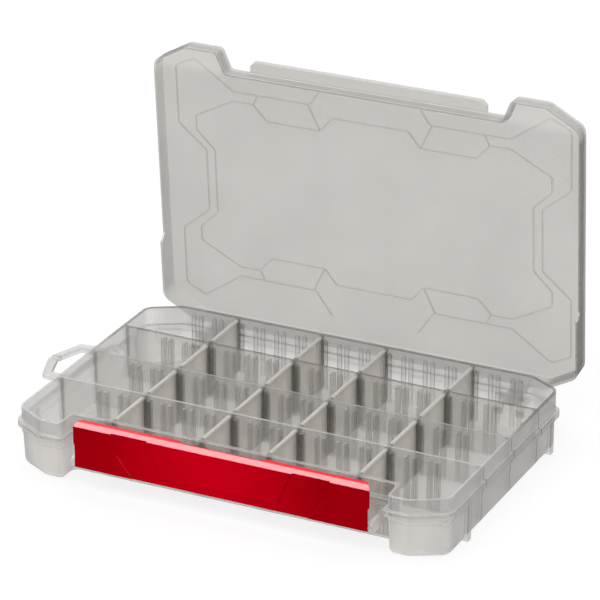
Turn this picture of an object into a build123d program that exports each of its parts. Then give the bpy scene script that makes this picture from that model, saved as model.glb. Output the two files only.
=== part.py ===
from build123d import *
import os

# Fishing tackle box: a shallow hinged tray with a wide front latch and removable dividers.
#
# Frame: millimetres, +Z up.  The origin is the centre of the flat underside of the tray.
# +X runs along the long side to the right, -Y is the front, where the latch is.
# Every piece is drawn where it sits with the lid standing open and the latch upright.

os.makedirs("parts", exist_ok=True)

# ---- driving dimensions of the tray ------------------------------------------------
RIM_WIDTH = 350.8            # outside of the upright rim, left to right
RIM_DEPTH = 230.4            # outside of the upright rim, front to back
RIM_HEIGHT = 47.5            # top of the rim above the table
WALL = 1.7                   # moulded wall and floor
MERGE = 1.0                  # overlap between shapes that are joined or cut
REACH = 2.6                  # how far the flange and the lid stand out from the rim
CORNER_X = 26.0              # corner bevel, measured along X
CORNER_Y = 15.0              # corner bevel, measured along Y
SIDE_ROUND = 10.0            # rounding where a bevel meets a side wall
END_ROUND = 14.0             # rounding where a bevel meets the front or back wall
CORNER_THIN = 1.0            # inside the walls the corner bevels are smaller by this
CORNER_TOLERANCE = 0.5       # for telling the corners of the plan apart

# ---- latch bay in the front of the tray --------------------------------------------
BAY_Y = -95.8                # outer face of the rim inside the bay
BAY_X = 132.2                # half width of the bay at its back
BAY_FLARE = 0.3              # the bay is wider by this at its mouth
BAY_ROUND = 4.0

# ---- lower body: the walls lean in towards the floor --------------------------------
FOOT_HALF_WIDTH = 174.2
FOOT_FRONT = -112.3
FOOT_BACK = 114.2
FOOT_BAY_Y = -94.9
FOOT_CORNER_X = 26.0
FOOT_CORNER_Y = 13.8
FOOT_ROUND = 5.0             # rounding of the bottom edge
BODY_INSET = 0.4             # lower body inside the rim, just under the flange

# ---- flange round the tray, lower along the back -------------------------------------
FLANGE_TOP = 36.5
FLANGE_THICK = 4.7
STEP_DROP = 5.0              # flange and lid edge sit this much lower at the back
STEP_FRONT = 47.5            # the ramp of the step starts at this Y
STEP_BACK = 53.5
BAY_FLANGE_Y = -101.5        # front edge of the flange inside the bay

# ---- inner walls and the slots for the dividers -------------------------------------
INNER_WALL = 1.6
INNER_WALL_TOP = RIM_HEIGHT - 0.3
ROWS = 4
BAY_WALL = 3.0
CAVITY_FRONT = BAY_Y + BAY_WALL
CAVITY_BACK = RIM_DEPTH / 2 - WALL
ROW_CLEAR = (CAVITY_BACK - CAVITY_FRONT - (ROWS - 1) * INNER_WALL) / ROWS
ROW_PITCH = ROW_CLEAR + INNER_WALL
SLOT_PITCH = 18.2
SLOTS = 16
RIB_WIDTH = 3.2
RIB_PITCH = 6.1              # between the two ribs of one slot
RIB_DEPTH = 1.3
RIB_TOP = 42.9

# ---- dividers --------------------------------------------------------------------
DIVIDER_SLOTS = (-5.5, -1.5, 1.5, 5.5)
DIVIDER_GAP = 0.35           # clearance from each wall
DIVIDER_PLATE = 1.5
DIVIDER_END = 2.3            # thickened ends that run between the ribs
DIVIDER_END_LENGTH = 3.0
DIVIDER_BEAD = 3.0           # thick bead along the top
DIVIDER_BEAD_HEIGHT = 2.4
DIVIDER_BEAD_ROUND = 0.8
DIVIDER_TOP = RIM_HEIGHT - 0.4
DIVIDER_FOOT = WALL + 0.3
DIVIDER_CORNER = FOOT_ROUND - WALL      # clears the rounding at the bottom of the tray

# ---- lid, drawn shut and then swung open ---------------------------------------------
LID_GAP = 0.3                # between the lid and the tray when shut
LID_PANEL = 1.9
LID_TOP = RIM_HEIGHT + LID_GAP + LID_PANEL
LID_DRAFT = 0.8              # the top of the lid is smaller by this on every side
LID_CLEAR = 0.6              # from the rim to the inside of the skirt
LID_CORNER_X = 27.6          # corner bevel of the lid, along X and along Y
LID_CORNER_Y = 15.4
LID_NOTCH_FRONT_X = 121.6    # half width of the gap for the latch, at the front
LID_NOTCH_BACK_X = 114.6
LID_BAY_Y = -100.6
LID_SKIRT = 2.4
LID_EDGE_ROUND = 1.4
STRIP_HALF = 98.5            # catch strip that the latch hooks over
STRIP_FRONT = -109.9
STRIP_THICK = 4.0
STRIP_BEVEL = 4.0
STRIP_SINK = 0.2
OPEN_ANGLE = 85.7

# ---- raised lines on the lid -----------------------------------------------------
LINE_WIDTH = 0.9
LINE_HEIGHT = 0.4
LINE_ROUND = 4.0
LINE_CENTRE_Y = 0.4
LINE_CHAINS = (
    ((37, 100), (50.5, 80.3), (116.3, 80.3), (148.8, 103.2), (165.3, 95), (165.3, 46), (141.8, 25.8),
     (141.8, -1)),
    ((-1, 72), (32, 72), (42, 59.5), (88, 59.5), (99.5, 72), (116.5, 72), (149.8, 54.5), (149.8, 42),
     (134.5, 27), (134.5, -1)),
)
LINE_LINKS = (((52, 80), (42.5, 60)), ((95.2, 80), (98.8, 72)))

# ---- hinge -------------------------------------------------------------------------
HINGE_Y = 124.0
HINGE_Z = 20.4
HINGE_X = 130.0
BARREL_RADIUS = 4.0
PIN_RADIUS = 1.5
PIN_HEAD_RADIUS = 2.4
PIN_HEAD = 1.2
PIN_GAP = 0.1
RUNNING_GAP = 0.08           # radial, pin to bore
LID_KNUCKLE = 11.2
KNUCKLE_GAP = 0.4
TRAY_KNUCKLE = 6.0
ARM_THICK = 3.2
ARM_GAP = 0.5                # between the arm and the flange when shut
ARM_TOP = 45.0
HEEL_THICK = 3.0
HEEL_GAP = 0.15              # between a heel and the back wall when the lid stands open
HINGE_LUG_DROP = 10.0

# ---- latch -----------------------------------------------------------------------
LATCH_HALF = 119.9
LATCH_BACK_HALF = 115.4      # the ends lean in towards the back
LATCH_FRONT = -117.6
LATCH_BOTTOM = 16.6
LATCH_EDGE = 49.4            # where the front face meets the top bevel
LATCH_BEVEL = 3.2
LATCH_TOP = LATCH_EDGE + LATCH_BEVEL
LATCH_WALL = 2.2
LATCH_BACK = -110.3
LATCH_STRAIGHT = 1.0
LATCH_WAIST = 35.0           # below this the latch is a little narrower and deeper
LATCH_LOW_HALF = 119.1
LATCH_LOW_BACK_HALF = 114.3
LATCH_LOW_BACK = -108.6
LATCH_SINK = 0.6
LATCH_CHANNEL = (
    (0, 15), (70, 15), (84, 33), (90, 54), (61, 54), (51, 33), (47, 22), (0, 22),
)
THUMB_Y = -113.4
THUMB_HALF = 34.5
THUMB_SLANT = 2.0
PIVOT_Y = -112.4
PIVOT_Z = 19.5
PEG_RADIUS = 2.0             # pegs on the lugs of the tray, running in the ends of the latch
PEG_LENGTH = 4.9
LUG_THICK = 3.0
LUG_RADIUS = 4.6
LUG_GAP = 0.5

# ---- hang loop on the left side ----------------------------------------------------
LOOP_Y = 7.2
LOOP_HALF = 30.8
LOOP_TIP = 31.8              # reach beyond the side of the tray flange
LOOP_SHOULDER = 22.0
LOOP_BAR = 6.2
LOOP_ARM = 7.4
LOOP_THICK = 3.4
LOOP_TIP_HALF = 4.0
LOOP_ROOT_BAR = 3.0
LOOP_ROUND = 3.0
LOOP_FLARE = 2.0             # the loop widens by this towards the tray
LOOP_SINK = 0.6              # top of the loop below the top of the flange

# ---- standing ribs on the side walls -------------------------------------------------
SIDE_RIB_YS = (-70.0, 86.0)
SIDE_RIB_WIDTH = 5.6
SIDE_RIB_REACH = 177.6
SIDE_RIB_FOOT = 1.0


def near(a, b):
    """True where two coordinates are the same corner."""
    return abs(a - b) < CORNER_TOLERANCE


def plan(half_width, front, back, bay_y, bay_x, mouth_x, corner_x, corner_y):
    """Plan of the tray: bevelled corners and a bay in the front for the latch."""
    with BuildSketch() as outline:
        with BuildLine():
            Polyline(
                (0, bay_y),
                (bay_x, bay_y),
                (mouth_x, front),
                (half_width - corner_x, front),
                (half_width, front + corner_y),
                (half_width, back - corner_y),
                (half_width - corner_x, back),
                (0, back),
            )
            mirror(about=Plane.YZ)
        make_face()
        bay = [v for v in outline.vertices() if near(abs(v.X), bay_x) and near(v.Y, bay_y)]
        fillet(bay, radius=BAY_ROUND)
        mouth = [v for v in outline.vertices() if near(abs(v.X), mouth_x) and near(v.Y, front)]
        fillet(mouth, radius=BAY_ROUND)
        sides = [v for v in outline.vertices() if near(abs(v.X), half_width)]
        fillet(sides, radius=SIDE_ROUND)
        rear = [v for v in outline.vertices() if near(v.Y, back) and abs(v.X) > MERGE]
        fillet(rear, radius=END_ROUND)
        ends = [v for v in outline.vertices() if near(abs(v.X), half_width - corner_x) and near(v.Y, front)]
        fillet(ends, radius=END_ROUND / 2)
    return outline.sketch


def step_band(low, high, high_drop):
    """Side view of a band whose lower edge, and top edge if wanted, drop at the step."""
    far = RIM_DEPTH
    with BuildSketch() as band:
        with BuildLine():
            Polyline(
                (-far, low),
                (STEP_FRONT, low),
                (STEP_BACK, low - STEP_DROP),
                (far, low - STEP_DROP),
                (far, high - high_drop),
                (STEP_BACK, high - high_drop),
                (STEP_FRONT, high),
                (-far, high),
                close=True,
            )
        make_face()
    return band.sketch


def rib_row(slots):
    """Front view of the paired ribs along one wall, each with a rounded top."""
    with BuildSketch() as ribs:
        for slot in range(slots):
            for half in (-0.5, 0.5):
                x = (slot - (slots - 1) / 2) * SLOT_PITCH + half * RIB_PITCH
                with Locations((x, (RIB_TOP - RIB_WIDTH / 2) / 2)):
                    Rectangle(RIB_WIDTH, RIB_TOP - RIB_WIDTH / 2)
                with Locations((x, RIB_TOP - RIB_WIDTH / 2)):
                    Circle(RIB_WIDTH / 2)
    return ribs.sketch


def lid_lines():
    """The angular raised lines on the lid: two nested outlines joined by short lines."""
    with BuildSketch() as lines:
        for chain in LINE_CHAINS:
            with BuildLine():
                FilletPolyline(*chain, radius=LINE_ROUND)
            trace(line_width=LINE_WIDTH)
        for start, end in LINE_LINKS:
            with BuildLine():
                Line(start, end)
            trace(line_width=LINE_WIDTH)
        mirror(about=Plane.YZ)
        mirror(about=Plane.XZ)
    return lines.sketch


# ---- tray ------------------------------------------------------------------------
HALF_WIDTH = RIM_WIDTH / 2
FLANGE_HALF = HALF_WIDTH + REACH
HALF_DEPTH = RIM_DEPTH / 2
FLANGE_LOW = FLANGE_TOP - FLANGE_THICK
BACK_FLANGE_LOW = FLANGE_LOW - STEP_DROP
SPAN = 2 * RIM_WIDTH         # longer than anything it has to cut
WALL_YS = [CAVITY_FRONT + (wall + 1) * ROW_PITCH - INNER_WALL / 2 for wall in range(ROWS - 1)]
HINGE_XS = (-HINGE_X, HINGE_X)
LUG_OFFSET = (LID_KNUCKLE + TRAY_KNUCKLE) / 2 + KNUCKLE_GAP
PIN_HALF = LUG_OFFSET + TRAY_KNUCKLE / 2 + PIN_GAP
SIDE_RIB_ROOT = FOOT_HALF_WIDTH - WALL
LOOP_ROOT = -FLANGE_HALF + LOOP_FLARE
LOOP_LOW = FLANGE_TOP - LOOP_THICK - LOOP_SINK
LID_LOW = FLANGE_TOP + LID_GAP - STEP_DROP
ARM_INNER_Y = HALF_DEPTH + REACH + ARM_GAP
LOOP_INNER_SHOULDER = -FLANGE_HALF - LOOP_SHOULDER + LOOP_BAR - LOOP_FLARE
HEEL_LENGTH = HINGE_Y - HALF_DEPTH + BODY_INSET - HEEL_GAP
BEAD_Z = DIVIDER_TOP - DIVIDER_BEAD_HEIGHT / 2

with BuildPart() as flange:
    with BuildSketch(Plane.XY.offset(BACK_FLANGE_LOW)):
        add(plan(HALF_WIDTH + REACH, -HALF_DEPTH - REACH, HALF_DEPTH + REACH,
                 BAY_FLANGE_Y, BAY_X - REACH, BAY_X + BAY_FLARE - REACH,
                 CORNER_X + REACH / 2, CORNER_Y + REACH / 2))
    extrude(amount=FLANGE_TOP - BACK_FLANGE_LOW)
    with BuildSketch(Plane.YZ.offset(-SPAN / 2)):
        add(step_band(FLANGE_LOW, FLANGE_TOP, STEP_DROP))
    extrude(amount=SPAN, mode=Mode.INTERSECT)

with BuildPart() as foot:
    with BuildSketch(Plane.XY):
        add(plan(FOOT_HALF_WIDTH, FOOT_FRONT, FOOT_BACK, FOOT_BAY_Y, BAY_X,
                 BAY_X + BAY_FLARE, FOOT_CORNER_X, FOOT_CORNER_Y))
    with BuildSketch(Plane.XY.offset(FLANGE_LOW)):
        add(plan(HALF_WIDTH - BODY_INSET, BODY_INSET - HALF_DEPTH,
                 HALF_DEPTH - BODY_INSET, BAY_Y + BODY_INSET, BAY_X,
                 BAY_X + BAY_FLARE, CORNER_X, CORNER_Y))
    loft(ruled=True)
    fillet(foot.faces().sort_by(Axis.Z)[0].edges(), radius=FOOT_ROUND)

with BuildPart() as cavity:
    with BuildSketch(Plane.XY.offset(WALL)):
        add(plan(FOOT_HALF_WIDTH - WALL, FOOT_FRONT + WALL, CAVITY_BACK,
                 CAVITY_FRONT, BAY_X + WALL, BAY_X + BAY_FLARE + WALL,
                 FOOT_CORNER_X - CORNER_THIN, FOOT_CORNER_Y - CORNER_THIN))
    with BuildSketch(Plane.XY.offset(RIM_HEIGHT + MERGE)):
        add(plan(HALF_WIDTH - WALL, WALL - HALF_DEPTH, CAVITY_BACK,
                 CAVITY_FRONT, BAY_X + WALL, BAY_X + BAY_FLARE + WALL,
                 CORNER_X - CORNER_THIN, CORNER_Y - CORNER_THIN))
    loft(ruled=True)
    fillet(cavity.faces().sort_by(Axis.Z)[0].edges(), radius=FOOT_ROUND - WALL)

with BuildPart() as inner_walls:
    with BuildSketch(Plane.XY):
        with Locations(*[(0, y) for y in WALL_YS]):
            Rectangle(RIM_WIDTH, INNER_WALL)
    extrude(amount=INNER_WALL_TOP)
    for rib_y in WALL_YS:
        with BuildSketch(Plane.XZ.offset(-rib_y)):
            add(rib_row(SLOTS))
        extrude(amount=INNER_WALL / 2 + RIB_DEPTH, both=True)
    with BuildSketch(Plane.XZ.offset(-CAVITY_BACK)):
        add(rib_row(SLOTS))
    extrude(amount=RIB_DEPTH)
    with BuildSketch(Plane.XZ.offset(-CAVITY_FRONT)):
        add(rib_row(SLOTS - 2))
    extrude(amount=-RIB_DEPTH)
    add(cavity.part, mode=Mode.INTERSECT)

with BuildPart() as base_tray:
    add(foot.part)
    with BuildSketch(Plane.XY.offset(BACK_FLANGE_LOW)):
        add(plan(HALF_WIDTH, -HALF_DEPTH, HALF_DEPTH, BAY_Y, BAY_X, BAY_X + BAY_FLARE,
                 CORNER_X, CORNER_Y))
    extrude(amount=RIM_HEIGHT - BACK_FLANGE_LOW)
    add(flange.part)

    # standing ribs on both side walls
    for side in (-1, 1):
        for rib_y in SIDE_RIB_YS:
            rib_top = FLANGE_LOW if rib_y < STEP_FRONT else BACK_FLANGE_LOW
            with BuildSketch(Plane.XY.offset(SIDE_RIB_FOOT)):
                with Locations((side * (SIDE_RIB_ROOT + SIDE_RIB_REACH) / 2, rib_y)):
                    Rectangle(SIDE_RIB_REACH - SIDE_RIB_ROOT, SIDE_RIB_WIDTH)
            extrude(amount=rib_top - SIDE_RIB_FOOT + MERGE)
    add(cavity.part, mode=Mode.SUBTRACT)
    add(inner_walls.part)

    # hang loop on the left side
    with BuildSketch(Plane((0, LOOP_Y, LOOP_LOW))) as loop:
        with BuildLine():
            Polyline(
                (LOOP_ROOT, LOOP_HALF + LOOP_FLARE),
                (-FLANGE_HALF - LOOP_SHOULDER, LOOP_HALF),
                (-FLANGE_HALF - LOOP_TIP, LOOP_TIP_HALF),
                (-FLANGE_HALF - LOOP_TIP, -LOOP_TIP_HALF),
                (-FLANGE_HALF - LOOP_SHOULDER, -LOOP_HALF),
                (LOOP_ROOT, -LOOP_HALF - LOOP_FLARE),
                close=True,
            )
        make_face()
        with BuildLine():
            Polyline(
                (-FLANGE_HALF - LOOP_ROOT_BAR, LOOP_HALF - LOOP_ARM),
                (LOOP_INNER_SHOULDER, LOOP_HALF - LOOP_ARM),
                (-FLANGE_HALF - LOOP_TIP + LOOP_BAR, 0),
                (LOOP_INNER_SHOULDER, LOOP_ARM - LOOP_HALF),
                (-FLANGE_HALF - LOOP_ROOT_BAR, LOOP_ARM - LOOP_HALF),
                close=True,
            )
        make_face(mode=Mode.SUBTRACT)
        fillet([v for v in loop.vertices() if v.X < -FLANGE_HALF], radius=LOOP_ROUND)
    extrude(amount=LOOP_THICK)

    # lugs that carry the two hinge pins
    for x in HINGE_XS:
        for outward in (-1, 1):
            with BuildSketch(Plane.YZ.offset(x + outward * LUG_OFFSET - TRAY_KNUCKLE / 2)):
                Polygon(
                    (CAVITY_BACK + MERGE, BACK_FLANGE_LOW),
                    (HINGE_Y, HINGE_Z + BARREL_RADIUS),
                    (HINGE_Y, HINGE_Z - BARREL_RADIUS),
                    (CAVITY_BACK + MERGE, HINGE_Z - HINGE_LUG_DROP),
                    align=None,
                )
                with Locations((HINGE_Y, HINGE_Z)):
                    Circle(BARREL_RADIUS)
                    Circle(PIN_RADIUS + RUNNING_GAP, mode=Mode.SUBTRACT)
            extrude(amount=TRAY_KNUCKLE)

    # lugs and pegs that carry the latch
    for side in (-1, 1):
        start = side * (LATCH_LOW_HALF + LUG_GAP)
        with BuildSketch(Plane.YZ.offset(start)):
            with Locations(((PIVOT_Y + CAVITY_FRONT - MERGE) / 2, PIVOT_Z)):
                Rectangle(CAVITY_FRONT - MERGE - PIVOT_Y, 2 * LUG_RADIUS)
            with Locations((PIVOT_Y, PIVOT_Z)):
                Circle(LUG_RADIUS)
        extrude(amount=side * LUG_THICK)
        with BuildSketch(Plane.YZ.offset(start + side * MERGE)):
            with Locations((PIVOT_Y, PIVOT_Z)):
                Circle(PEG_RADIUS)
        extrude(amount=-side * (MERGE + PEG_LENGTH))
base_tray.part.label = "base_tray"
export_step(base_tray.part, "parts/base_tray.step")

# ---- lid ---------------------------------------------------------------------------
with BuildPart() as lid_shut:
    with BuildSketch(Plane.XY.offset(LID_LOW)):
        add(plan(FLANGE_HALF, -HALF_DEPTH - REACH, HALF_DEPTH + REACH, LID_BAY_Y,
                 LID_NOTCH_BACK_X, LID_NOTCH_FRONT_X, LID_CORNER_X, LID_CORNER_Y))
    with BuildSketch(Plane.XY.offset(LID_TOP)):
        add(plan(FLANGE_HALF - LID_DRAFT, LID_DRAFT - HALF_DEPTH - REACH,
                 HALF_DEPTH + REACH - LID_DRAFT, LID_BAY_Y + LID_DRAFT,
                 LID_NOTCH_BACK_X + LID_DRAFT, LID_NOTCH_FRONT_X + LID_DRAFT,
                 LID_CORNER_X, LID_CORNER_Y))
    loft(ruled=True)
    fillet(lid_shut.faces().sort_by(Axis.Z)[-1].edges(), radius=LID_EDGE_ROUND)
    with BuildSketch(Plane.XY.offset(LID_LOW)):
        add(plan(HALF_WIDTH + LID_CLEAR, -HALF_DEPTH - LID_CLEAR, HALF_DEPTH + LID_CLEAR,
                 LID_BAY_Y + LID_SKIRT, LID_NOTCH_BACK_X + LID_SKIRT,
                 LID_NOTCH_FRONT_X + LID_SKIRT, CORNER_X, CORNER_Y))
    extrude(amount=LID_TOP - LID_PANEL - LID_LOW, mode=Mode.SUBTRACT)
    with BuildSketch(Plane.YZ.offset(-SPAN / 2)):
        add(step_band(FLANGE_TOP + LID_GAP, LID_TOP + MERGE, 0))
    extrude(amount=SPAN, mode=Mode.INTERSECT)

    # catch strip in front of the skirt, for the latch
    with BuildSketch(Plane.XY.offset(LID_TOP - STRIP_THICK)):
        with BuildLine():
            Polyline(
                (0, STRIP_FRONT),
                (STRIP_HALF - STRIP_BEVEL, STRIP_FRONT),
                (STRIP_HALF, STRIP_FRONT + STRIP_BEVEL),
                (STRIP_HALF, LID_BAY_Y + LID_SKIRT / 2),
                (0, LID_BAY_Y + LID_SKIRT / 2),
            )
            mirror(about=Plane.YZ)
        make_face()
    extrude(amount=STRIP_THICK - STRIP_SINK)

    # raised lines on the outside
    with BuildSketch(Plane((0, LINE_CENTRE_Y, LID_TOP - LINE_HEIGHT))):
        add(lid_lines())
    extrude(amount=2 * LINE_HEIGHT)

    # knuckle and arm of each hinge, with a heel that stops the lid when it stands open
    for x in HINGE_XS:
        with BuildSketch(Plane.YZ.offset(x - LID_KNUCKLE / 2)):
            Polygon(
                (ARM_INNER_Y, HINGE_Z),
                (ARM_INNER_Y, FLANGE_TOP - STEP_DROP + LID_GAP),
                (HALF_DEPTH + REACH - LID_SKIRT / 2, FLANGE_TOP - STEP_DROP + LID_GAP),
                (HALF_DEPTH + REACH - LID_SKIRT / 2, ARM_TOP),
                (ARM_INNER_Y + ARM_THICK, ARM_TOP - 2 * ARM_THICK),
                (HINGE_Y + BARREL_RADIUS, HINGE_Z),
                align=None,
            )
            with Locations((HINGE_Y, HINGE_Z - HEEL_LENGTH / 2)):
                Rectangle(HEEL_THICK, HEEL_LENGTH)
            with Locations((HINGE_Y, HINGE_Z)):
                Circle(BARREL_RADIUS)
                Circle(PIN_RADIUS + RUNNING_GAP, mode=Mode.SUBTRACT)
        extrude(amount=LID_KNUCKLE)
lid = lid_shut.part.rotate(Axis((0, HINGE_Y, HINGE_Z), (1, 0, 0)), -OPEN_ANGLE)
lid.label = "lid"
export_step(lid, "parts/lid.step")

# ---- hinge pins ----------------------------------------------------------------------
for side, name in ((-1, "hinge_pin_left"), (1, "hinge_pin_right")):
    with BuildPart() as pin:
        with BuildSketch(Plane.YZ.offset(side * (HINGE_X - PIN_HALF))):
            with Locations((HINGE_Y, HINGE_Z)):
                Circle(PIN_RADIUS)
        extrude(amount=side * 2 * PIN_HALF)
        with BuildSketch(Plane.YZ.offset(side * (HINGE_X + PIN_HALF))):
            with Locations((HINGE_Y, HINGE_Z)):
                Circle(PIN_HEAD_RADIUS)
        extrude(amount=side * PIN_HEAD)
        fillet(pin.edges().sort_by(Axis.X)[-1 if side > 0 else 0], radius=PIN_HEAD / 2)
    pin.part.label = name
    export_step(pin.part, f"parts/{name}.step")

# ---- latch --------------------------------------------------------------------------
with BuildPart() as latch_hollow:
    with BuildSketch(Plane.XY.offset(LATCH_WAIST)):
        with BuildLine():
            Polyline(
                (0, LATCH_FRONT),
                (LATCH_HALF - LATCH_WALL, LATCH_FRONT),
                (LATCH_HALF - LATCH_WALL, LATCH_FRONT + LATCH_STRAIGHT),
                (LATCH_BACK_HALF - LATCH_WALL, LATCH_BACK),
                (LATCH_BACK_HALF - LATCH_WALL, LATCH_LOW_BACK + MERGE),
                (0, LATCH_LOW_BACK + MERGE),
            )
            mirror(about=Plane.YZ)
        make_face()
    extrude(amount=LATCH_TOP - LATCH_WAIST)
    with BuildSketch(Plane.XY.offset(LATCH_WAIST)):
        with BuildLine():
            Polyline(
                (0, LATCH_FRONT),
                (LATCH_LOW_HALF - LATCH_WALL, LATCH_FRONT),
                (LATCH_LOW_BACK_HALF - LATCH_WALL, LATCH_LOW_BACK),
                (LATCH_LOW_BACK_HALF - LATCH_WALL, LATCH_LOW_BACK + MERGE),
                (0, LATCH_LOW_BACK + MERGE),
            )
            mirror(about=Plane.YZ)
        make_face()
    extrude(amount=LATCH_BOTTOM - MERGE - LATCH_WAIST)
    with BuildSketch(Plane.YZ.offset(-LATCH_HALF)):
        Polygon(
            (LATCH_FRONT + LATCH_WALL, LATCH_BOTTOM - MERGE),
            (LATCH_FRONT + LATCH_WALL, LATCH_EDGE - MERGE),
            (LATCH_FRONT + LATCH_WALL + LATCH_BEVEL - MERGE, LATCH_TOP - LATCH_WALL),
            (LATCH_LOW_BACK + MERGE, LATCH_TOP - LATCH_WALL),
            (LATCH_LOW_BACK + MERGE, LATCH_BOTTOM - MERGE),
            align=None,
        )
    extrude(amount=2 * LATCH_HALF, mode=Mode.INTERSECT)

with BuildPart() as latch:
    with BuildSketch(Plane.XY.offset(LATCH_WAIST)):
        with BuildLine():
            Polyline(
                (0, LATCH_FRONT),
                (LATCH_HALF, LATCH_FRONT),
                (LATCH_HALF, LATCH_FRONT + LATCH_STRAIGHT),
                (LATCH_BACK_HALF, LATCH_BACK),
                (0, LATCH_BACK),
            )
            mirror(about=Plane.YZ)
        make_face()
    extrude(amount=LATCH_TOP - LATCH_WAIST)
    top_edges = latch.faces().sort_by(Axis.Z)[-1].edges()
    chamfer(top_edges.sort_by(Axis.Y)[0], length=LATCH_BEVEL)
    with BuildSketch(Plane.XY.offset(LATCH_BOTTOM)):
        with BuildLine():
            Polyline(
                (0, LATCH_FRONT),
                (LATCH_LOW_HALF, LATCH_FRONT),
                (LATCH_LOW_BACK_HALF, LATCH_LOW_BACK),
                (0, LATCH_LOW_BACK),
            )
            mirror(about=Plane.YZ)
        make_face()
    extrude(amount=LATCH_WAIST - LATCH_BOTTOM)

    add(latch_hollow.part, mode=Mode.SUBTRACT)

    # thumb notch in the back of the top
    with BuildSketch(Plane.XY.offset(LATCH_TOP + MERGE)):
        with BuildLine():
            Polyline(
                (0, THUMB_Y),
                (THUMB_HALF - THUMB_SLANT, THUMB_Y),
                (THUMB_HALF, LATCH_BACK + MERGE),
                (0, LATCH_BACK + MERGE),
            )
            mirror(about=Plane.YZ)
        make_face()
    extrude(amount=-LATCH_WALL - 2 * MERGE, mode=Mode.SUBTRACT)

    # raised plates on the front: everything between them is sunk
    with BuildSketch(Plane.XZ.offset(-LATCH_FRONT)):
        with BuildLine():
            Polyline(*LATCH_CHANNEL)
            mirror(about=Plane.YZ)
        make_face()
    extrude(amount=-LATCH_SINK, mode=Mode.SUBTRACT)

    # bores for the pegs
    with BuildSketch(Plane.YZ.offset(-LATCH_HALF)):
        with Locations((PIVOT_Y, PIVOT_Z)):
            Circle(PEG_RADIUS + RUNNING_GAP)
    extrude(amount=2 * LATCH_HALF, mode=Mode.SUBTRACT)
latch.part.label = "latch"
export_step(latch.part, "parts/latch.step")

# ---- removable dividers --------------------------------------------------------------
ROW_YS = [CAVITY_FRONT + ROW_CLEAR / 2 + row * ROW_PITCH for row in range(ROWS)]
DIVIDER_LENGTH = ROW_CLEAR - 2 * DIVIDER_GAP

for row, row_y in enumerate(ROW_YS, start=1):
    for column, slot in enumerate(DIVIDER_SLOTS, start=1):
        name = f"divider_row{row}_col{column}"
        with BuildPart() as divider:
            with BuildSketch(Plane((slot * SLOT_PITCH, row_y, DIVIDER_FOOT))):
                Rectangle(DIVIDER_PLATE, DIVIDER_LENGTH)
                with GridLocations(1, DIVIDER_LENGTH - DIVIDER_END_LENGTH, 1, 2):
                    Rectangle(DIVIDER_END, DIVIDER_END_LENGTH)
            extrude(amount=DIVIDER_TOP - DIVIDER_FOOT - DIVIDER_BEAD_HEIGHT / 2)
            with BuildSketch(Plane.XZ.offset(-row_y)):
                with Locations((slot * SLOT_PITCH, BEAD_Z)):
                    RectangleRounded(DIVIDER_BEAD, DIVIDER_BEAD_HEIGHT, DIVIDER_BEAD_ROUND)
            extrude(amount=DIVIDER_LENGTH / 2, both=True)
            with BuildSketch(Plane.YZ.offset(slot * SLOT_PITCH)) as side_view:
                with Locations((row_y, (DIVIDER_FOOT + DIVIDER_TOP) / 2)):
                    Rectangle(DIVIDER_LENGTH, DIVIDER_TOP - DIVIDER_FOOT)
                fillet(side_view.vertices().sort_by(Axis.Y)[:2], radius=DIVIDER_CORNER)
            extrude(amount=DIVIDER_BEAD, both=True, mode=Mode.INTERSECT)
        divider.part.label = name
        export_step(divider.part, f"parts/{name}.step")
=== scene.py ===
import math

import bpy
from mathutils import Matrix, Vector


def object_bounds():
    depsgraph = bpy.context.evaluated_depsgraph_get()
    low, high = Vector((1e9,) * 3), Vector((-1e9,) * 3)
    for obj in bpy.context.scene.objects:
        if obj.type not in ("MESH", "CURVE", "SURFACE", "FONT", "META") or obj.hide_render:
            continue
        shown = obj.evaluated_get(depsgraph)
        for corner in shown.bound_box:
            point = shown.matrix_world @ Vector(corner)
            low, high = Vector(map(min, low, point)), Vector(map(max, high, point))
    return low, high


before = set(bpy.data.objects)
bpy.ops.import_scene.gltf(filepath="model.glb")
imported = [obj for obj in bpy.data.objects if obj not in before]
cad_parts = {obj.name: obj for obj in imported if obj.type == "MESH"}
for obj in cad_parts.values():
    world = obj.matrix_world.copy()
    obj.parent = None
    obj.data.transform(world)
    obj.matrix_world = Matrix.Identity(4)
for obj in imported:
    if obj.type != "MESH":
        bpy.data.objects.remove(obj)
cad_low, cad_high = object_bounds()

MM = 0.001


def mm(*lengths):
    """Millimetres to metres."""
    return tuple(length * MM for length in lengths)


# ---- camera ------------------------------------------------------------------------
CAMERA_YAW = math.radians(25.92)
CAMERA_PITCH = math.radians(23.88)
CAMERA_DISTANCE = 2694.3 * MM
CAMERA_RIGHT = 7.55 * MM          # the view axis passes this far to the right of the origin
CAMERA_RISE = 116.41 * MM         # and this far above it
CAMERA_LENS = 214.5
CAMERA_SENSOR = 36.0
CAMERA_REACH = 100.0

# ---- places on the box, in its rest frame ---------------------------------------------
# A pair is a fade: 0 up to its first value, 1 from its second value on.
HINGE_Y = 124.0 * MM
HINGE_Z = 20.4 * MM
HINGE_FADE = mm(8.0, 12.0)        # distance from the hinge axis
HINGE_LEAST = 0.15                # what stays of an effect on the axis itself
ROW_WALL_Y = -41.625 * MM         # middle of the first row wall
ROW_PITCH = 51.975 * MM
SLOT_MIDDLE = 63.7 * MM           # halfway between the two divider slots on one side
SLOT_OFFSET = 36.4 * MM
RIB_FACE = mm(0.85, 1.0)          # distance from the middle of a row wall
RIB_CREST = mm(2.4, 2.3)
RIB_RUN = mm(142.0, 141.5)        # to either side along X
RIB_BY_DIVIDER = mm(6.2, 5.0)     # distance from the middle of a divider slot
JOINT_SIDE = mm(170.0, 171.0)     # where row walls join the side walls
JOINT_STRIP = mm(1.0, 0.7)
JOINT_TOP = mm(46.5, 46.0)
JOINT_RUN = mm(85.0, 80.0)
CREST_BACK = mm(0.0, 45.0)
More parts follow.
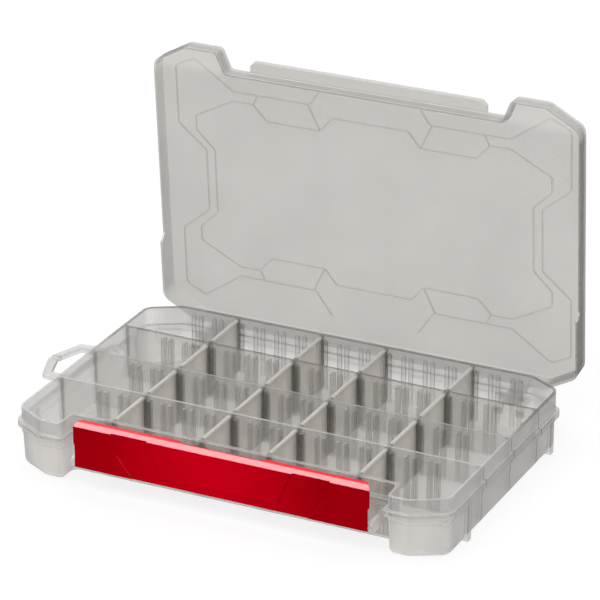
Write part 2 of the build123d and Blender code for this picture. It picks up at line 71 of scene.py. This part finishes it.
CREST_HEIGHT = mm(46.2, 46.8)
BACK_WALL_Y = mm(100.0, 108.0)
BACK_WALL_Z = mm(12.0, 20.0)
BLOCK_FRONT = mm(-100.0, -108.0)
BLOCK_TOP = mm(34.0, 30.0)
LID_FRONT = mm(236.0, 243.0)
DIVIDER_END = mm(5.2, 4.4)
DIVIDER_BEAD = mm(44.4, 44.9)
PAINTED_HIGHLIGHT_SPAN = mm(40.0, -50.0)      # the tray's edge lines are painted shade at the back and painted highlights in front

# ---- clear plastic ------------------------------------------------------------------
NOISE_RANGE = (0.3, 0.7)          # where most of a noise lies
GRAIN_SCALE = 900.0
GRAIN_DETAIL = 3.0
CLOUD_SCALE = 14.0
MILK_SPREAD = 0.15                # the milk varies by this share
LEAST_SLANT = 0.12
BACK_WALL_EXTRA_MILK = 1.2                  # extra milk, as a share
# painted light: the lower front of the blocks beside the latch gets extra milk and a paler milk tone to
# brighten it
BLOCK_PAINTED_LIGHT_MILK = 1.5
# painted light: extra milk brightens the bead along the top of a divider
BEAD_PAINTED_LIGHT_MILK = 2.5
BLOCK_PAINTED_LIGHT_TONE = (1.0, 0.985, 0.97)
# painted light: a paler milk tone along the lid's front edge, its upper edge while open
LID_FRONT_PAINTED_LIGHT_TONE = (0.84, 0.84, 0.84)
# painted shade: a dark transparent sheet over ribs, wall joints, back crests and divider ends
PAINTED_SHADE = (0.40, 0.39, 0.37)
END_SHADE = 0.6                   # strength of the painted shade on each place
RIB_SHADE = 0.12
RIB_SHADE_BY_DIVIDER = 0.34
JOINT_SHADE = 0.55
CREST_SHADE = 0.6
# edge lines: painted highlights on edges facing up or left, painted shade on the others
LINE_FADE = (0.99, 0.90)          # cosine between the rounded and the flat normal
LINE_SIDE = 0.55                  # weight of the left against upward
LINE_LIT = (0.25, 0.6)
LINE_PAINTED_SHADE = (0.3, 0.3, 0.29)
LID_FRONT_LIT = 0.8
PLASTIC_ROUGHNESS = (0.10, 0.15)
GRAZING_POWER = 5.0
GRAZING_MIRROR = 0.9
HEAD_ON_MIRROR = 0.05
PLASTIC_BEVEL_SAMPLES = 4

CLEAR_PLASTICS = {
    "tray": {
        "skin": (0.98, 0.975, 0.96), "tint": (0.62, 0.60, 0.57), "density": 85.0,
        "milk": 0.21, "milk_colour": (0.80, 0.80, 0.82),
        "line_radius": 0.7 * MM, "line_strength": 0.75, "line_painted_highlight": 0.95,
    },
    "lid": {
        "skin": (0.89, 0.885, 0.87), "tint": (0.62, 0.59, 0.55), "density": 120.0,
        "milk": 0.16, "milk_colour": (0.45, 0.445, 0.44),
        "line_radius": 0.45 * MM, "line_strength": 0.9, "line_painted_highlight": 0.95,
    },
    "divider": {
        "skin": (0.965, 0.955, 0.935), "tint": (0.62, 0.59, 0.54), "density": 110.0,
        "milk": 0.22, "milk_colour": (0.86, 0.845, 0.815),
        "line_radius": 0.5 * MM, "line_strength": 0.7, "line_painted_highlight": 0.80,
    },
}

# ---- red plastic of the latch ---------------------------------------------------------
RED_GRAIN_SCALE = 700.0
RED_CLOUD_SCALE = 22.0
RED_CLOUD_STRETCH = (1.0, 1.0, 0.6)
RED_BUMP = 0.06
RED_BUMP_HEIGHT = 0.1 * MM
RED_BEVEL = 0.6 * MM
RED_BEVEL_SAMPLES = 6
RED_CENTRE = 15.0 * MM            # the painted pool of light is brightest this far left of the middle
RED_MIDDLE = mm(95.0, 20.0)
RED_MIDDLE_SHARE = 0.75
# red at the ends of the latch, and the painted light of its middle
RED_DARK = (0.30, 0.0, 0.003, 1.0)
RED_PAINTED_LIGHT = (0.62, 0.0, 0.010, 1.0)
# painted light: upward faces of the latch take a paler red, as if lit from above
RED_PAINTED_TOP_LIGHT = (0.80, 0.004, 0.02, 1.0)
RED_TOP_FADE = (0.1, 0.6)         # upward part of the normal
RED_TOP_GLOSS = 0.75
RED_ROUGHNESS = (0.16, 0.24)

# ---- stage and light ------------------------------------------------------------------
FLOOR_SIZE = 30.0
FLOOR_GAP = 0.2 * MM
FLOOR_COLOUR = (0.9, 0.9, 0.9, 1.0)
FLOOR_GLOW = 0.78
WHITE = (1.0, 1.0, 1.0, 1.0)
WORLD_LIGHT = 1.0
ROOM_LIGHT = 1.4
ROOM_GREYS = ((0.0, 0.05), (1.0, 1.0), (0.15, 0.1), (0.4, 0.35), (0.75, 1.0))   # height, grey
SOFTBOXES = (
    # name, place, target, size, watts, what sees it
    ("key", (-0.7, -0.9, 1.6), (0.0, 0.0, 0.05), (1.2, 1.2), 6.0, "diffuse"),
    ("top", (0.2, 0.3, 1.8), (0.0, 0.0, 0.05), (1.6, 1.2), 4.0, "diffuse"),
    ("highlight", (-0.8, -0.95, 1.65), (0.0, -0.1, 0.05), (1.2, 1.2), 27.0, "gloss"),
)
MAX_BOUNCES = 24
MAX_TRANSPARENT_BOUNCES = 96
INDIRECT_CLAMP = 4.0


class Shader:
    """A material under construction, with short calls for the nodes it needs."""

    def __init__(self, name):
        self.material = bpy.data.materials.new(name)
        self.material.use_nodes = True
        self.tree = self.material.node_tree
        self.tree.nodes.clear()
        self.output = self.tree.nodes.new("ShaderNodeOutputMaterial")

    def node(self, kind, **settings):
        made = self.tree.nodes.new("ShaderNode" + kind)
        for key, value in settings.items():
            setattr(made, key, value)
        return made

    def link(self, source, target):
        self.tree.links.new(source, target)

    def feed(self, socket, value):
        """Links value into socket if it is an output, or else sets it."""
        if isinstance(value, bpy.types.NodeSocket):
            self.link(value, socket)
        else:
            socket.default_value = value

    # arithmetic
    def math(self, operation, *values):
        made = self.node("Math", operation=operation)
        for socket, value in zip(made.inputs, values):
            self.feed(socket, value)
        return made.outputs[0]

    def plus(self, a, b):
        return self.math("ADD", a, b)

    def minus(self, a, b):
        return self.math("SUBTRACT", a, b)

    def times(self, a, b):
        return self.math("MULTIPLY", a, b)

    def larger(self, a, b):
        return self.math("MAXIMUM", a, b)

    def size(self, value):
        return self.math("ABSOLUTE", value)

    def dot(self, a, b):
        made = self.node("VectorMath", operation="DOT_PRODUCT")
        self.link(a, made.inputs[0])
        self.link(b, made.inputs[1])
        return made.outputs["Value"]

    def step(self, value, fade):
        """0 up to the first value of the fade, 1 from its second value on, in either order."""
        made = self.node("MapRange")
        self.link(value, made.inputs["Value"])
        made.inputs["From Min"].default_value = fade[0]
        made.inputs["From Max"].default_value = fade[1]
        return made.outputs["Result"]

    def spread(self, noise, low, high):
        """Maps the usual range of a noise to low..high."""
        made = self.node("MapRange")
        self.link(noise, made.inputs["Value"])
        made.inputs["From Min"].default_value = NOISE_RANGE[0]
        made.inputs["From Max"].default_value = NOISE_RANGE[1]
        made.inputs["To Min"].default_value = low
        made.inputs["To Max"].default_value = high
        return made.outputs["Result"]

    # colours, shaders and patterns
    def mix_shader(self, factor, first, second):
        made = self.node("MixShader")
        self.feed(made.inputs[0], factor)
        self.link(first, made.inputs[1])
        self.link(second, made.inputs[2])
        return made.outputs[0]

    def mix_colour(self, factor, first, second):
        made = self.node("Mix", data_type="RGBA")
        self.feed(made.inputs["Factor"], factor)
        self.feed(made.inputs["A"], first)
        self.feed(made.inputs["B"], second)
        return made.outputs["Result"]

    def lobe(self, kind, colour):
        made = self.node(kind)
        self.feed(made.inputs["Color"], colour)
        return made.outputs[0]

    def noise(self, scale, detail=2.0, stretch=(1.0, 1.0, 1.0)):
        place = self.node("TexCoord")
        mapping = self.node("Mapping")
        mapping.inputs["Scale"].default_value = stretch
        self.link(place.outputs["Object"], mapping.inputs["Vector"])
        made = self.node("TexNoise")
        made.inputs["Scale"].default_value = scale
        made.inputs["Detail"].default_value = detail
        self.link(mapping.outputs["Vector"], made.inputs["Vector"])
        return made.outputs["Fac"]

    def split(self, vector):
        made = self.node("SeparateXYZ")
        self.link(vector, made.inputs[0])
        return made.outputs

    def rounded_normal(self, radius, samples):
        """The bevel node that rounds every edge by radius, for its normal."""
        made = self.node("Bevel", samples=samples)
        made.inputs["Radius"].default_value = radius
        return made

    # places on the box
    def place(self, axis):
        """A coordinate of the point in the frame of the box at rest."""
        return self.split(self.node("TexCoord").outputs["Object"])[axis]

    def from_row_wall(self):
        """Distance along Y from the middle of the nearest row wall."""
        turns = self.math("DIVIDE", self.minus(self.place("Y"), ROW_WALL_Y - ROW_PITCH / 2), ROW_PITCH)
        offset = self.minus(self.math("FRACT", turns), 0.5)
        return self.times(self.size(offset), ROW_PITCH)

    def clear_of_hinge(self):
        """HINGE_LEAST close to the hinge axis, 1 further away."""
        across = self.minus(self.place("Y"), HINGE_Y)
        rise = self.minus(self.place("Z"), HINGE_Z)
        square = self.plus(self.math("POWER", across, 2.0), self.math("POWER", rise, 2.0))
        clear = self.step(self.math("SQRT", square), HINGE_FADE)
        return self.plus(self.times(clear, 1.0 - HINGE_LEAST), HINGE_LEAST)

    def on_rib(self):
        """1 on the slot ribs of the row walls."""
        distance = self.from_row_wall()
        near = self.times(self.step(distance, RIB_FACE), self.step(distance, RIB_CREST))
        return self.times(near, self.step(self.size(self.place("X")), RIB_RUN))

    def by_divider(self):
        """1 on the ribs that a divider stands between."""
        offset = self.minus(self.size(self.place("X")), SLOT_MIDDLE)
        away = self.minus(self.size(offset), SLOT_OFFSET)
        return self.step(self.size(away), RIB_BY_DIVIDER)

    def on_side_joint(self):
        """1 on the strips of the side walls that the row walls join."""
        side = self.step(self.size(self.place("X")), JOINT_SIDE)
        strip = self.step(self.from_row_wall(), JOINT_STRIP)
        below = self.step(self.place("Z"), JOINT_TOP)
        middle = self.step(self.size(self.place("Y")), JOINT_RUN)
        return self.times(self.times(side, self.times(strip, below)), middle)

    def on_back_crest(self):
        """1 on the upper edge of the walls in the back half."""
        return self.times(self.step(self.place("Z"), CREST_HEIGHT), self.step(self.place("Y"), CREST_BACK))

    def on_back_wall(self):
        """1 on the upper part of the back wall."""
        return self.times(self.step(self.place("Y"), BACK_WALL_Y), self.step(self.place("Z"), BACK_WALL_Z))

    def on_front_block(self):
        """1 on the lower front of the blocks beside the latch."""
        return self.times(self.step(self.place("Y"), BLOCK_FRONT), self.step(self.place("Z"), BLOCK_TOP))

    def on_lid_front(self):
        """1 on the front edge of the lid, which is its upper edge while it stands open."""
        return self.step(self.place("Z"), LID_FRONT)

    def on_divider_end(self):
        """1 on the thick ends of a divider."""
        return self.step(self.from_row_wall(), DIVIDER_END)

    def on_bead(self):
        """1 on the bead along the top of a divider."""
        return self.step(self.place("Z"), DIVIDER_BEAD)


# ---- clear plastic --------------------------------------------------------------------
def milky_body(s, part, recipe, slant, away):
    """Clear plastic that scatters a share of the light, more where the view grazes a wall."""
    cloud = s.noise(CLOUD_SCALE)
    milk = recipe["milk"]
    share = s.times(s.spread(cloud, -(1.0 + MILK_SPREAD) * milk, -(1.0 - MILK_SPREAD) * milk), away)
    tone = (*recipe["milk_colour"], 1.0)
    if part == "divider":
        # painted light on the divider's top bead
        share = s.times(share, s.plus(s.times(s.on_bead(), BEAD_PAINTED_LIGHT_MILK), 1.0))
    if part == "tray":
        # painted light on the front blocks: more milk and a paler tone; the upper back wall gets extra
        # milk as well
        extra_milk_and_painted_light = s.plus(s.times(s.on_back_wall(), BACK_WALL_EXTRA_MILK), s.times(s.on_front_block(), BLOCK_PAINTED_LIGHT_MILK))
        share = s.times(share, s.plus(extra_milk_and_painted_light, 1.0))
        tone = s.mix_colour(s.on_front_block(), tone, (*BLOCK_PAINTED_LIGHT_TONE, 1.0))
    if part == "lid":
        # painted light along the lid's front edge
        tone = s.mix_colour(s.on_lid_front(), tone, (*LID_FRONT_PAINTED_LIGHT_TONE, 1.0))
    scattered = s.minus(1.0, s.math("EXPONENT", s.math("DIVIDE", share, slant)))
    clear = s.lobe("BsdfTransparent", (*recipe["skin"], 1.0))
    milky = s.mix_shader(0.5, s.lobe("BsdfDiffuse", tone), s.lobe("BsdfTranslucent", tone))
    return s.mix_shader(scattered, clear, milky)


def painted_shade_places(s, part, body):
    """Paints shade, a dark transparent sheet, on the places where more plastic stands in the way than one
    wall.
    """
    if part == "lid":
        return body
    if part == "divider":
        where = s.times(s.on_divider_end(), END_SHADE)
    else:
        rib = s.times(s.on_rib(), s.plus(s.times(s.by_divider(), RIB_SHADE_BY_DIVIDER), RIB_SHADE))
        where = s.larger(rib, s.times(s.on_side_joint(), JOINT_SHADE))
        where = s.larger(where, s.times(s.on_back_crest(), CREST_SHADE))
    # painted shade mixed in on these places
    return s.mix_shader(where, body, s.lobe("BsdfTransparent", (*PAINTED_SHADE, 1.0)))


def painted_edge_lines(s, part, recipe, rounded, flat, away, body):
    """Thin painted lines along moulded edges: painted highlights where they face up or left, painted shade
    elsewhere.
    """
    line = s.step(s.size(s.dot(rounded, flat)), LINE_FADE)
    facing = s.split(rounded)
    pale = s.step(s.minus(facing["Z"], s.times(facing["X"], LINE_SIDE)), LINE_LIT)
    if part == "lid":
        # painted highlight lines along the lid's front edge
        pale = s.larger(pale, s.times(s.on_lid_front(), LID_FRONT_LIT))
    if part == "tray":
        pale = s.times(pale, s.step(s.place("Y"), PAINTED_HIGHLIGHT_SPAN))
    # painted shade and painted highlight lines along the edges
    dark = s.lobe("BsdfTransparent", (*LINE_PAINTED_SHADE, 1.0))
    light = s.lobe("BsdfDiffuse", (recipe["line_painted_highlight"],) * 3 + (1.0,))
    drawn = s.times(s.times(line, recipe["line_strength"]), away)
    return s.mix_shader(drawn, body, s.mix_shader(pale, dark, light))


def glossy_skin(s, rounded, slant, away, outside, body):
    """Reflections on the outer faces, stronger at a grazing view."""
    gloss = s.node("BsdfGlossy")
    s.link(rounded, gloss.inputs["Normal"])
    grain = s.noise(GRAIN_SCALE, GRAIN_DETAIL)
    s.link(s.spread(grain, *PLASTIC_ROUGHNESS), gloss.inputs["Roughness"])
    grazing = s.math("POWER", s.minus(1.0, slant), GRAZING_POWER)
    mirror = s.times(s.plus(s.times(grazing, GRAZING_MIRROR), HEAD_ON_MIRROR), away)
    return s.mix_shader(s.times(mirror, outside), body, gloss.outputs[0])


def clear_plastic(part):
    """Clear moulded plastic: light passes straight through and is absorbed along the way."""
    recipe = CLEAR_PLASTICS[part]
    s = Shader(part + "_plastic")
    geometry = s.node("NewGeometry")
    flat = geometry.outputs["Normal"]
    away = s.clear_of_hinge()
    rounded = s.rounded_normal(recipe["line_radius"], PLASTIC_BEVEL_SAMPLES).outputs["Normal"]
    slant = s.larger(s.size(s.dot(geometry.outputs["Incoming"], flat)), LEAST_SLANT)
    outside = s.minus(1.0, geometry.outputs["Backfacing"])
    body = milky_body(s, part, recipe, slant, away)
    body = painted_shade_places(s, part, body)
    body = painted_edge_lines(s, part, recipe, rounded, flat, away, body)
    body = glossy_skin(s, rounded, slant, away, outside, body)
    s.link(body, s.output.inputs["Surface"])

    volume = s.node("VolumeAbsorption")
    volume.inputs["Color"].default_value = (*recipe["tint"], 1.0)
    volume.inputs["Density"].default_value = recipe["density"]
    s.link(volume.outputs[0], s.output.inputs["Volume"])
    return s.material


def red_plastic():
    """Tinted glossy plastic of the latch, with painted light making it brightest near its middle and along
    its top.
    """
    s = Shader("latch_plastic")
    grain = s.noise(RED_GRAIN_SCALE, GRAIN_DETAIL)
    cloud = s.noise(RED_CLOUD_SCALE, stretch=RED_CLOUD_STRETCH)
    bump = s.node("Bump")
    bump.inputs["Strength"].default_value = RED_BUMP
    bump.inputs["Distance"].default_value = RED_BUMP_HEIGHT
    s.link(grain, bump.inputs["Height"])
    edge = s.rounded_normal(RED_BEVEL, RED_BEVEL_SAMPLES)
    s.link(bump.outputs["Normal"], edge.inputs["Normal"])

    # painted light: a pool of light across the latch, brightest near the middle, with random mottle from
    # the cloud noise
    middle = s.step(s.size(s.plus(s.place("X"), RED_CENTRE)), RED_MIDDLE)
    shade = s.plus(s.times(middle, RED_MIDDLE_SHARE), s.spread(cloud, 0.0, 1.0 - RED_MIDDLE_SHARE))
    # painted light on the latch's upward faces
    top = s.step(s.split(edge.outputs["Normal"])["Z"], RED_TOP_FADE)
    colour = s.mix_colour(top, s.mix_colour(shade, RED_DARK, RED_PAINTED_LIGHT), RED_PAINTED_TOP_LIGHT)

    shader = s.node("BsdfPrincipled")
    s.link(colour, shader.inputs["Base Color"])
    s.link(s.spread(grain, *RED_ROUGHNESS), shader.inputs["Roughness"])
    s.link(edge.outputs["Normal"], shader.inputs["Normal"])
    s.link(s.times(top, RED_TOP_GLOSS), shader.inputs["Specular IOR Level"])
    s.link(shader.outputs[0], s.output.inputs["Surface"])
    return s.material


def floor_material():
    """White floor that catches a faint shadow and is black to reflections."""
    s = Shader("studio_floor")
    lit = s.mix_shader(FLOOR_GLOW, s.lobe("BsdfDiffuse", FLOOR_COLOUR), s.lobe("Emission", WHITE))
    unseen = s.node("Emission")
    unseen.inputs["Strength"].default_value = 0.0
    path = s.node("LightPath")
    seen = s.mix_shader(path.outputs["Is Glossy Ray"], lit, unseen.outputs[0])
    s.link(seen, s.output.inputs["Surface"])
    s.material.cycles.emission_sampling = "NONE"
    return s.material


def dress(node, material):
    """Gives every face of a CAD node one material."""
    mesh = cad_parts[node].data
    mesh.materials.clear()
    mesh.materials.append(material)
    for polygon in mesh.polygons:
        polygon.material_index = 0


# ---- stage, light and camera -------------------------------------------------------------
def make_floor():
    half = FLOOR_SIZE / 2
    level = cad_low.z - FLOOR_GAP
    mesh = bpy.data.meshes.new("floor")
    corners = [(-half, -half, level), (half, -half, level), (half, half, level), (-half, half, level)]
    mesh.from_pydata(corners, [], [(0, 1, 2, 3)])
    mesh.materials.append(floor_material())
    floor = bpy.data.objects.new("floor", mesh)
    bpy.context.scene.collection.objects.link(floor)


def softbox(name, place, target, size, watts, seen_in):
    light = bpy.data.lights.new(name, "AREA")
    light.shape = "RECTANGLE"
    light.size = size[0]
    light.size_y = size[1]
    light.energy = watts
    lamp = bpy.data.objects.new(name, light)
    lamp.location = place
    lamp.rotation_euler = (Vector(target) - Vector(place)).to_track_quat("-Z", "Y").to_euler()
    lamp.visible_glossy = seen_in == "gloss"
    lamp.visible_diffuse = seen_in == "diffuse"
    lamp.visible_transmission = seen_in == "diffuse"
    bpy.context.scene.collection.objects.link(lamp)


def make_world():
    """White to the camera, a dim room with a bright ceiling to everything that reflects it."""
    world = bpy.data.worlds.new("studio")
    world.use_nodes = True
    tree = world.node_tree
    tree.nodes.clear()
    output = tree.nodes.new("ShaderNodeOutputWorld")
    plain = tree.nodes.new("ShaderNodeBackground")
    plain.inputs["Color"].default_value = WHITE
    plain.inputs["Strength"].default_value = WORLD_LIGHT
    room = tree.nodes.new("ShaderNodeBackground")
    room.inputs["Strength"].default_value = ROOM_LIGHT
    place = tree.nodes.new("ShaderNodeTexCoord")
    split = tree.nodes.new("ShaderNodeSeparateXYZ")
    ramp = tree.nodes.new("ShaderNodeValToRGB")
    stops = ramp.color_ramp.elements
    for index, (height, grey) in enumerate(ROOM_GREYS):
        stop = stops[index] if index < 2 else stops.new(height)
        stop.position = height
        stop.color = (grey, grey, grey, 1.0)
    path = tree.nodes.new("ShaderNodeLightPath")
    mix = tree.nodes.new("ShaderNodeMixShader")
    tree.links.new(place.outputs["Generated"], split.inputs[0])
    tree.links.new(split.outputs["Z"], ramp.inputs["Fac"])
    tree.links.new(ramp.outputs["Color"], room.inputs["Color"])
    tree.links.new(path.outputs["Is Camera Ray"], mix.inputs[0])
    tree.links.new(room.outputs[0], mix.inputs[1])
    tree.links.new(plain.outputs[0], mix.inputs[2])
    tree.links.new(mix.outputs[0], output.inputs["Surface"])
    bpy.context.scene.world = world


def make_camera():
    back = Vector((
        math.sin(CAMERA_YAW) * math.cos(CAMERA_PITCH),
        -math.cos(CAMERA_YAW) * math.cos(CAMERA_PITCH),
        math.sin(CAMERA_PITCH),
    ))
    right = Vector((math.cos(CAMERA_YAW), math.sin(CAMERA_YAW), 0.0))
    up = back.cross(right)
    data = bpy.data.cameras.new("camera")
    data.sensor_width = CAMERA_SENSOR
    data.lens = CAMERA_LENS
    data.clip_end = CAMERA_REACH
    camera = bpy.data.objects.new("camera", data)
    place = right * CAMERA_RIGHT + up * CAMERA_RISE + back * CAMERA_DISTANCE
    camera.matrix_world = Matrix.Translation(place) @ Matrix((right, up, back)).transposed().to_4x4()
    bpy.context.scene.collection.objects.link(camera)
    bpy.context.scene.camera = camera


tray_plastic = clear_plastic("tray")
divider_plastic = clear_plastic("divider")
dress("base_tray", tray_plastic)
dress("hinge_pin_left", tray_plastic)
dress("hinge_pin_right", tray_plastic)
dress("lid", clear_plastic("lid"))
dress("latch", red_plastic())
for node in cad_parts:
    if node.startswith("divider"):
        dress(node, divider_plastic)

make_floor()
make_world()
for box in SOFTBOXES:
    softbox(*box)
make_camera()

scene = bpy.context.scene
scene.view_settings.view_transform = "Standard"
scene.cycles.use_denoising = True
scene.cycles.max_bounces = MAX_BOUNCES
scene.cycles.transparent_max_bounces = MAX_TRANSPARENT_BOUNCES
scene.cycles.sample_clamp_indirect = INDIRECT_CLAMP
